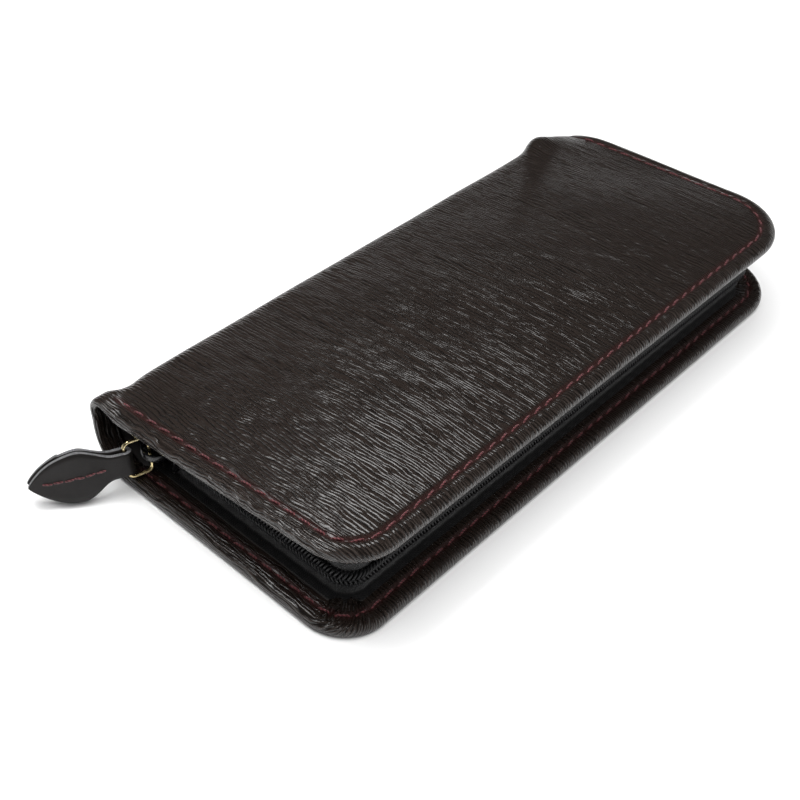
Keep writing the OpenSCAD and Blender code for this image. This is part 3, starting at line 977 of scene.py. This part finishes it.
# ---------------- the inside
def pocket(name, upper):
    """A pocket panel sewn down on three sides, bulging to its open mouth near the spine."""

    def held(x, y):
        return (x <= SEWN) | (x >= POCKET_WIDTH - SEWN) | (y <= SEWN)

    shape = softened(inflated(POCKET_WIDTH, POCKET_DEPTH, held, cell=4.0), 2)
    nx, ny = 106, 36
    s, t = np.meshgrid(np.linspace(0, 1, nx), np.linspace(0, 1, ny), indexing="ij")
    x = (s - 0.5) * POCKET_WIDTH
    y = POCKET_FRONT + t * POCKET_DEPTH
    lift = sampled(shape, s, t)
    rise = LID_POCKET_RISE if upper else BASE_POCKET_RISE
    near_seam = (1 - smooth(t, 0.0, 0.35)) * smooth(t, 0.01, 0.08)
    gathers = 0.156 * np.sin(x * 0.9 + 0.4 * np.sin(y * 0.3)) * near_seam
    height = 0.35 + (rise - 0.4) * lift + gathers
    z = under_lid(y) - height if upper else BASE_T + height
    middle = np.stack([x, y, z], -1).reshape(-1, 3)
    index = np.arange(nx * ny).reshape(nx, ny)
    faces = grid_faces(index)
    normals = vertex_normals(middle, faces)
    if (normals[:, 2].mean() < 0) != upper:
        faces = faces[:, ::-1]
        normals = -normals
    half = 0.3
    sheet = np.stack([x.ravel(), y.ravel()], 1)
    panel = shell(name, middle + normals * half, middle - normals * half, faces, sheet)
    mouth = middle.reshape(nx, ny, 3)[:, -1] + [0, 0.15, 0]
    points, faces = tube(mouth, 0.55, 12, up=(0, 1, 0), flatten=1.1)
    sheet = np.stack([np.repeat(mouth[:, 0], 12), np.tile(np.arange(12) / 3, nx)], 1)
    return panel, add_mesh(name + "_binding", points, faces, sheet)


def lining_faces(seed):
    """The depths of a lining's even and slightly uneven faces."""
    return (
        lambda u, v: thickness(v) - 0.95,
        lambda u, v: thickness(v) - 0.28 + 0.05 * ripple(u, v, 5, seed),
    )


def make_linings():
    on_lid = (LINED_LID, LINED_LID, ROLL_V0 - 2.5)
    on_base = (LINED_BASE, FOLD_V1 - 0.6, SHEET_V - LINED_BASE)
    return (
        layer("lid_lining_panel", *on_lid, *lining_faces(7), lid_radii(LINED_LID)),
        layer("base_lining_panel", *on_base, *lining_faces(8), base_radii(LINED_BASE)),
    )


def make_spine_lining():
    """Spine lining in two halves, one for each fold."""
    return [
        layer(
            name, LINED_SPINE, v_from, v_to, lambda u, v: 1.15 - 0.8 * end_shape(u, v),
            lambda u, v: thickness(v) - 0.25 - 0.6 * end_shape(u, v), spacing=1.1,
        )
        for name, v_from, v_to in (
            ("spine_lining_upper", ROLL_V0 - 2.4, CUT_V), ("spine_lining_lower", CUT_V, FOLD_V1 - 0.7),
        )
    ]


def edge_gap(u, v):
    """Distance to the nearest edge of the upper cover."""
    return np.minimum(np.minimum(HALF_L + u, HALF_L - FAR_TRIM - u), v)


def under_skin(u, v):
    """Top of the upper cover's foam: just inside the leather, and pressed down under the seam."""
    return SKIN_T + 0.12 - 0.92 * puff(u, v) + 0.5 * bell(edge_gap(u, v) - LID_SEAM, 0.8)


def make_cores():
    """Foam and boards inside the covers."""
    inset = 1.5
    foam_inset = inset + 0.6
    lid_end = ROLL_V0 - 6
    under_foam = (foam_inset, foam_inset, lid_end)
    on_lid = (inset, inset, lid_end)
    on_base = (inset, FOLD_V1 + 3, SHEET_V - inset)
    board = LID_T - 1.95
    lid_corners, base_corners = lid_radii(inset), base_radii(inset)
    return (
        layer("lid_foam", *under_foam, under_skin, level(board - 0.05), lid_radii(foam_inset)),
        layer("lid_stiffener", *on_lid, level(board), level(board + 0.9), lid_corners, 5),
        layer("base_foam", *on_base, level(SKIN_T + 0.08), level(SKIN_T + 0.75), base_corners, 5),
        layer("base_stiffener", *on_base, level(SKIN_T + 0.8), level(BASE_T - 1.0), base_corners, 5),
    )


# ---------------- materials
class Look:
    """A node material under construction."""

    def __init__(self, name, colour, roughness, **sockets):
        self.material = bpy.data.materials.new(name)
        self.material.use_nodes = True
        self.tree = self.material.node_tree
        self.shader = next(n for n in self.tree.nodes if n.type == "BSDF_PRINCIPLED")
        self.shader.inputs["Base Color"].default_value = (*colour, 1)
        self.shader.inputs["Roughness"].default_value = roughness
        for key, value in sockets.items():
            self.shader.inputs[key.replace("_", " ")].default_value = value

    def node(self, kind, links=None, **settings):
        made = self.tree.nodes.new("ShaderNode" + kind)
        for key, value in settings.items():
            setattr(made, key, value)
        for key, value in (links or {}).items():
            if hasattr(value, "is_output"):
                self.tree.links.new(value, made.inputs[key])
            else:
                made.inputs[key].default_value = value
        return made

    def sheet_places(self):
        return self.node("UVMap", uv_map="sheet").outputs["UV"]

    def object_places(self):
        return self.node("TexCoord").outputs["Object"]

    def scaled(self, places, x, y, z=1.0):
        return self.node("Mapping", {"Vector": places, "Scale": (x, y, z)}).outputs["Vector"]

    def noise(self, places, scale, detail=3.0, rough=0.5):
        """Noise with scale features to each unit, along each axis."""
        links = {"Vector": self.scaled(places, *scale), "Scale": 1.0, "Detail": detail, "Roughness": rough}
        return self.node("TexNoise", links).outputs["Fac"]

    def math(self, operation, *values, clamp=False):
        return self.node("Math", dict(enumerate(values)), operation=operation, use_clamp=clamp).outputs[0]

    def times(self, a, b):
        return self.math("MULTIPLY", a, b)

    def times_plus(self, a, b, c):
        return self.math("MULTIPLY_ADD", a, b, c)

    def wave(self, value, turns):
        return self.math("SINE", self.times(value, turns))

    def span(self, value, low, high, to_low=0.0, to_high=1.0):
        links = {"Value": value, "From Min": low, "From Max": high, "To Min": to_low, "To Max": to_high}
        return self.node("MapRange", links, interpolation_type="SMOOTHSTEP").outputs["Result"]

    def mix(self, amount, a, b):
        made = self.node("Mix", {0: amount}, data_type="RGBA")
        for socket, colour in ((6, a), (7, b)):
            if hasattr(colour, "is_output"):
                self.tree.links.new(colour, made.inputs[socket])
            else:
                made.inputs[socket].default_value = (*colour, 1)
        return made.outputs[2]

    def value(self, name):
        return self.node("Attribute", attribute_name=name).outputs["Fac"]

    def finish(self, colour, roughness=None, height=None, relief_mm=0.0, strength=1.0):
        """Connects what was made to the shader."""
        made = {"Base Color": colour, "Roughness": roughness}
        if height is not None:
            bump = self.node("Bump", {"Height": height, "Strength": strength, "Distance": relief_mm * MM})
            made["Normal"] = bump.outputs["Normal"]
        for socket, output in made.items():
            if output is not None:
                self.tree.links.new(output, self.shader.inputs[socket])
        return self.material


def rippled_leather():
    """Leather pressed with long, wavy, forking ridges that run across the spine."""
    look = Look("rippled_leather", (0.022, 0.016, 0.014), 0.36, Specular_IOR_Level=0.5)
    places = look.sheet_places()
    across = look.node("SeparateXYZ", {"Vector": places}).outputs[0]
    slow = look.noise(places, (0.055, 0.03), 2.0)
    quick = look.noise(places, (0.28, 0.11), 2.0)
    fine = look.noise(places, (0.85, 0.24), 2.0)
    drift = look.times_plus(quick, 1.7, look.times(fine, 0.75))
    moved = look.math("ADD", across, look.times_plus(slow, 4.0, drift))
    wide = look.wave(moved, 2 * math.pi / 1.02)
    narrow = look.wave(moved, 2 * math.pi / 0.78)
    swap = look.span(look.noise(places, (0.55, 0.07), 1.0), 0.44, 0.56)
    both = look.times_plus(look.math("SUBTRACT", narrow, wide), swap, wide)
    rounded = look.math("POWER", look.math("MULTIPLY_ADD", both, 0.5, 0.5, clamp=True), 0.7)
    uneven = look.span(look.noise(places, (0.7, 0.16), 2.0), 0.25, 0.55, 0.6, 1.0)
    grain = look.times(rounded, uneven)
    pores = look.noise(places, (2.6, 1.4), 4.0, 0.6)
    seam = look.value("seam")
    calm = look.span(seam, 0.2, 1.0, 1.0, 0.45)
    height = look.times(look.times_plus(pores, 0.16, grain), calm)
    mottle = look.noise(places, (0.05, 0.035))
    # The grooves get the darker tone and the ridges the lighter one: painted shade in the grooves, over the
    # random mottle.
    deep = look.mix(mottle, (0.0034, 0.0023, 0.0018), (0.0043, 0.0029, 0.0023))
    high = look.mix(mottle, (0.0140, 0.0100, 0.0082), (0.0168, 0.0120, 0.0098))
    colour = look.mix(look.span(grain, 0.05, 0.7), deep, high)
    worn = look.times(look.span(look.value("rim"), 0.2, 1.0), look.span(grain, 0.5, 0.95))
    colour = look.mix(look.times(worn, 0.35), colour, (0.075, 0.062, 0.056))
    stained = look.times(look.span(seam, 0.15, 0.9), 0.55)
    colour = look.mix(stained, colour, (0.030, 0.0095, 0.0090))
    return look.finish(colour, look.span(height, 0.1, 0.95, 0.30, 0.18), height, 0.14)


def smooth_leather():
    """Smooth leather of the leaf, with raw grey cut edges."""
    look = Look("smooth_leather", (0.012, 0.010, 0.0095), 0.5, Specular_IOR_Level=0.3)
    places = look.sheet_places()
    pores = look.noise(places, (3.2, 3.2), 5.0, 0.65)
    creases = look.noise(places, (0.9, 0.35))
    fibres = look.noise(places, (5.0, 9.0))
    face = look.mix(creases, (0.0055, 0.0046, 0.0043), (0.0105, 0.0088, 0.0082))
    raw = look.mix(look.span(fibres, 0.3, 0.7), (0.05, 0.05, 0.052), (0.17, 0.17, 0.175))
    colour = look.mix(look.span(look.value("edge"), 0.35, 0.8), face, raw)
    roughness = look.span(pores, 0.3, 0.7, 0.42, 0.62)
    return look.finish(colour, roughness, look.times_plus(creases, 0.5, pores), 0.10, 0.6)


def speckled(name, colour, roughness, on_sheet, scale, detail, tones, rough=None, relief=()):
    """A plain finish with one noise in its colour, and in its roughness and relief where they are given."""
    look = Look(name, colour, roughness)
    places = look.sheet_places() if on_sheet else look.object_places()
    speckle = look.noise(places, scale, detail)
    uneven = look.span(speckle, 0.3, 0.7, *rough) if rough else None
    return look.finish(look.mix(speckle, *tones), uneven, speckle if relief else None, *relief)


def binding_leather():
    tones = ((0.010, 0.008, 0.007), (0.028, 0.022, 0.020))
    look = ("binding_leather", (0.018, 0.014, 0.012), 0.5, True, (1.6, 3.0), 4.0)
    return speckled(*look, tones, (0.42, 0.6), (0.15, 0.6))


def microfibre():
    look = Look("microfibre_lining", (0.03, 0.027, 0.027), 0.95, Sheen_Weight=0.35, Sheen_Roughness=0.5)
    places = look.sheet_places()
    nap = look.noise(places, (2.2, 3.4), 5.0, 0.7)
    stroke = look.noise(places, (0.045, 0.09))
    tone = look.times_plus(nap, 0.35, look.times(stroke, 0.65))
    colour = look.mix(look.span(tone, 0.25, 0.75), (0.018, 0.016, 0.016), (0.045, 0.041, 0.040))
    return look.finish(colour, look.span(nap, 0.2, 0.8, 0.88, 1.0), nap, 0.12, 0.5)


def sewing_thread():
    look = Look("sewing_thread", (0.15, 0.035, 0.045), 0.55, Sheen_Weight=0.2)
    places = look.sheet_places()
    twist = look.node(
        "TexWave", {"Vector": look.scaled(places, 1.0, 1.2), "Scale": 0.75, "Distortion": 0.6, "Detail": 1.0},
        wave_type="BANDS", bands_direction="DIAGONAL",
    ).outputs["Fac"]
    fuzz = look.noise(places, (4.0, 8.0))
    # The colour follows the twist, darker between the plies and lighter on them: painted shade and painted
    # highlight, mixed with the fuzz's random tone.
    tone = look.times_plus(twist, 0.6, look.times(fuzz, 0.4))
    colour = look.mix(look.span(tone, 0.2, 0.8), (0.040, 0.008, 0.0095), (0.135, 0.036, 0.040))
    return look.finish(colour, look.span(fuzz, 0.2, 0.8, 0.45, 0.7), tone, 0.12, 0.7)


def woven_tape():
    """Herringbone tape: slanted ribs that turn back every few millimetres."""
    look = Look("woven_tape", (0.008, 0.008, 0.009), 0.85, Sheen_Weight=0.15)
    places = look.sheet_places()
    parts = look.node("SeparateXYZ", {"Vector": places})
    turn = look.math("PINGPONG", parts.outputs[0], 2.2)
    slanted = look.times_plus(turn, 1.0, parts.outputs[1])
    rib = look.wave(slanted, 9.0)
    cross = look.wave(parts.outputs[0], 12.0)
    weave = look.times_plus(cross, 0.2, look.times_plus(rib, 0.3, 0.5))
    fuzz = look.noise(places, (3.0, 3.0), 4.0)
    colour = look.mix(weave, (0.0022, 0.0022, 0.0024), (0.0085, 0.0085, 0.0092))
    roughness = look.span(fuzz, 0.2, 0.8, 0.75, 0.95)
    return look.finish(colour, roughness, look.times_plus(fuzz, 0.3, weave), 0.16, 0.8)


def coil_nylon():
    look = Look("coil_nylon", (0.006, 0.006, 0.007), 0.4, Specular_IOR_Level=0.35)
    scuff = look.noise(look.object_places(), (900, 900, 900))
    colour = look.mix(scuff, (0.003, 0.003, 0.0035), (0.010, 0.010, 0.011))
    return look.finish(colour, look.span(scuff, 0.3, 0.7, 0.34, 0.5), scuff, 0.02, 0.4)


def black_metal():
    """Black lacquered metal, a little worn at random."""
    lacquer = {"Metallic": 0.35, "Coat_Weight": 0.5, "Coat_Roughness": 0.15}
    look = Look("black_metal", (0.012, 0.012, 0.013), 0.3, **lacquer)
    scuff = look.noise(look.object_places(), (500, 500, 500), 5.0, 0.6)
    worn = look.times(look.span(scuff, 0.62, 0.72), 0.5)
    colour = look.mix(worn, (0.010, 0.010, 0.011), (0.12, 0.11, 0.10))
    return look.finish(colour, look.span(scuff, 0.3, 0.7, 0.22, 0.42), scuff, 0.02, 0.4)


def pale_gold():
    look = Look("pale_gold", (0.76, 0.62, 0.32), 0.2, Metallic=1.0)
    places = look.object_places()
    scuff = look.noise(places, (700, 700, 700), 4.0)
    stain = look.noise(places, (200, 200, 200), 2.0)
    colour = look.mix(stain, (0.62, 0.47, 0.20), (0.88, 0.77, 0.48))
    return look.finish(colour, look.span(scuff, 0.3, 0.7, 0.14, 0.32), scuff, 0.01, 0.3)


def foam_sheet():
    look = Look("foam_sheet", (0.25, 0.25, 0.25), 0.95)
    places = look.scaled(look.sheet_places(), 1.5, 1.5)
    pores = look.node("TexVoronoi", {"Vector": places, "Scale": 1.0}).outputs["Distance"]
    colour = look.mix(pores, (0.14, 0.14, 0.14), (0.34, 0.34, 0.34))
    return look.finish(colour, height=pores, relief_mm=0.2, strength=0.6)


def grey_board():
    tones = ((0.34, 0.28, 0.20), (0.52, 0.45, 0.34))
    look = ("stiffener_board", (0.45, 0.38, 0.28), 0.85, True, (0.5, 2.5), 5.0)
    return speckled(*look, tones, relief=(0.08, 0.5))


def pale_floor():
    tones = ((0.89, 0.89, 0.89), (0.92, 0.92, 0.92))
    return speckled("pale_floor", (0.9, 0.9, 0.9), 0.85, False, (30, 30, 30), 2.0, tones)


# ---------------- camera, light and floor
def add_camera():
    """A long lens above and in front of the near corner, tipped a little to one side."""
    azimuth = math.radians(-54.35)
    elevation = math.radians(41.71)
    roll = math.radians(7.79)
    distance = 363.6
    aim_right = -20.01
    aim_up = -9.7
    reach = math.cos(elevation)
    back = np.array([math.sin(azimuth) * reach, -math.cos(azimuth) * reach, math.sin(elevation)])
    sideways = np.array([math.cos(azimuth), math.sin(azimuth), 0])
    above = np.cross(back, sideways)
    right = sideways * math.cos(roll) + above * math.sin(roll)
    up = above * math.cos(roll) - sideways * math.sin(roll)
    place = (back * distance + right * aim_right + up * aim_up) * MM
    data = bpy.data.cameras.new("camera")
    data.sensor_width = 36.0
    data.lens = 61.4
    data.clip_start = 0.02
    data.clip_end = 20.0
    camera = bpy.data.objects.new("camera", data)
    bpy.context.scene.collection.objects.link(camera)
    rows = [[right[k], up[k], back[k], place[k]] for k in range(3)]
    camera.matrix_world = Matrix(rows + [[0, 0, 0, 1]])
    bpy.context.scene.camera = camera


def add_softbox(name, place, target, width, height, power):
    data = bpy.data.lights.new(name, "AREA")
    data.shape = "RECTANGLE"
    data.size = width
    data.size_y = height
    data.energy = power
    light = bpy.data.objects.new(name, data)
    bpy.context.scene.collection.objects.link(light)
    light.location = place
    light.rotation_euler = (Vector(target) - Vector(place)).to_track_quat("-Z", "Y").to_euler()
    return light


def add_studio():
    world = bpy.data.worlds.new("studio")
    world.use_nodes = True
    background = next(n for n in world.node_tree.nodes if n.type == "BACKGROUND")
    background.inputs["Color"].default_value = (1, 1, 1, 1)
    background.inputs["Strength"].default_value = 0.08
    bpy.context.scene.world = world
    bpy.context.scene.view_settings.view_transform = "Standard"
    fill = add_softbox("overhead_fill", (0.0, 0.0, 1.4), (0, 0, 0), 2.2, 2.2, 44.0)
    fill.visible_glossy = False
    add_softbox("key_left", (-0.10, 0.095, 0.27), (-0.08, 0, 0.02), 0.13, 0.10, 0.40)
    add_softbox("low_behind", (0.95, 0.58, 0.50), (0.05, 0.02, 0.02), 0.8, 0.3, 0.04)
    add_softbox("low_front", (-0.12, -0.70, 0.42), (-0.02, -0.04, 0.01), 0.4, 0.25, 0.25)
    half = 4000.0
    corners = [(-half, -half, 0), (half, -half, 0), (half, half, 0), (-half, half, 0)]
    floor = add_mesh("floor", corners, [[0, 1, 2, 3]], flat=True)
    floor.data.materials.append(pale_floor())


# ---------------- assembly
def settle(piece, material, body=None, nodes=()):
    """Gives a piece its finish, its body and the CAD nodes that it stands for."""
    piece.data.materials.append(material)
    if body:
        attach(piece, body)
    if nodes:
        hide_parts(*nodes)
    return piece


def on_spine_top(piece):
    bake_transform(piece)


def on_spine_foot(piece):
    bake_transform(piece)


add_camera()
leather = rippled_leather()
thread = sewing_thread()
lining = microfibre()
weave = woven_tape()
nylon = coil_nylon()
metal = black_metal()
edging = binding_leather()
foam = foam_sheet()
card = grey_board()

lid_cover, base_cover = make_covers()
settle(lid_cover, leather, nodes=["lid_leather"])
on_spine_top(lid_cover)
settle(base_cover, leather, nodes=["base_leather", "spine_leather"])
on_spine_foot(base_cover)

lid_foam, lid_stiffener, base_foam, base_stiffener = make_cores()
settle(lid_foam, foam, "lid", ["lid_padding"])
settle(lid_stiffener, card, "lid", ["lid_board"])
settle(base_foam, foam, "base", ["base_padding"])
settle(base_stiffener, card, "base", ["base_board"])

lid_stitching, base_stitching = make_stitching()
settle(lid_stitching, thread, "lid", ["lid_thread"])
settle(base_stitching, thread, "base", ["base_thread"])

lid_lining_panel, base_lining_panel = make_linings()
settle(lid_lining_panel, lining, "lid", ["lid_lining"])
settle(base_lining_panel, lining, "base", ["base_lining"])
spine_upper, spine_lower = make_spine_lining()
settle(spine_upper, lining, nodes=["spine_lining"])
on_spine_top(spine_upper)
settle(spine_lower, lining)
on_spine_foot(spine_lower)

base_pocket_panel, base_binding = pocket("base_pocket_panel", False)
lid_pocket_panel, lid_binding = pocket("lid_pocket_panel", True)
settle(base_pocket_panel, lining, "base", ["base_pocket"])
settle(lid_pocket_panel, lining, "lid", ["lid_pocket"])
settle(base_binding, edging, "base", ["base_pocket_binding"])
settle(lid_binding, edging, "lid", ["lid_pocket_binding"])

base_tape = settle(tape("base_zip_tape", False), weave, "base", ["base_tape"])
lid_tape = settle(tape("lid_zip_tape", True), weave, "lid", ["lid_tape"])
settle(coil("base_coil", False), nylon, "base", ["base_teeth"])
settle(coil("lid_coil", True), nylon, "lid", ["lid_teeth"])
for name, node, body in (
    ("base_row_stop", "base_top_stop", "base"), ("lid_row_stop", "lid_top_stop", "lid"),
    ("zip_end_clip", "zip_bottom_stop", "base"),
):
    settle(make_stop(name, node), metal, body, [node])
settle(make_slider(), metal, "slider", ["slider_body"])
settle(make_bail(), metal, "slider", ["slider_bail"])
settle(make_link(), pale_gold(), "link", ["pull_link"])
settle(make_leaf(), smooth_leather(), "leaf", ["pull_leaf"])
settle(make_leaf_thread(), thread, "leaf", ["pull_thread"])

add_studio()
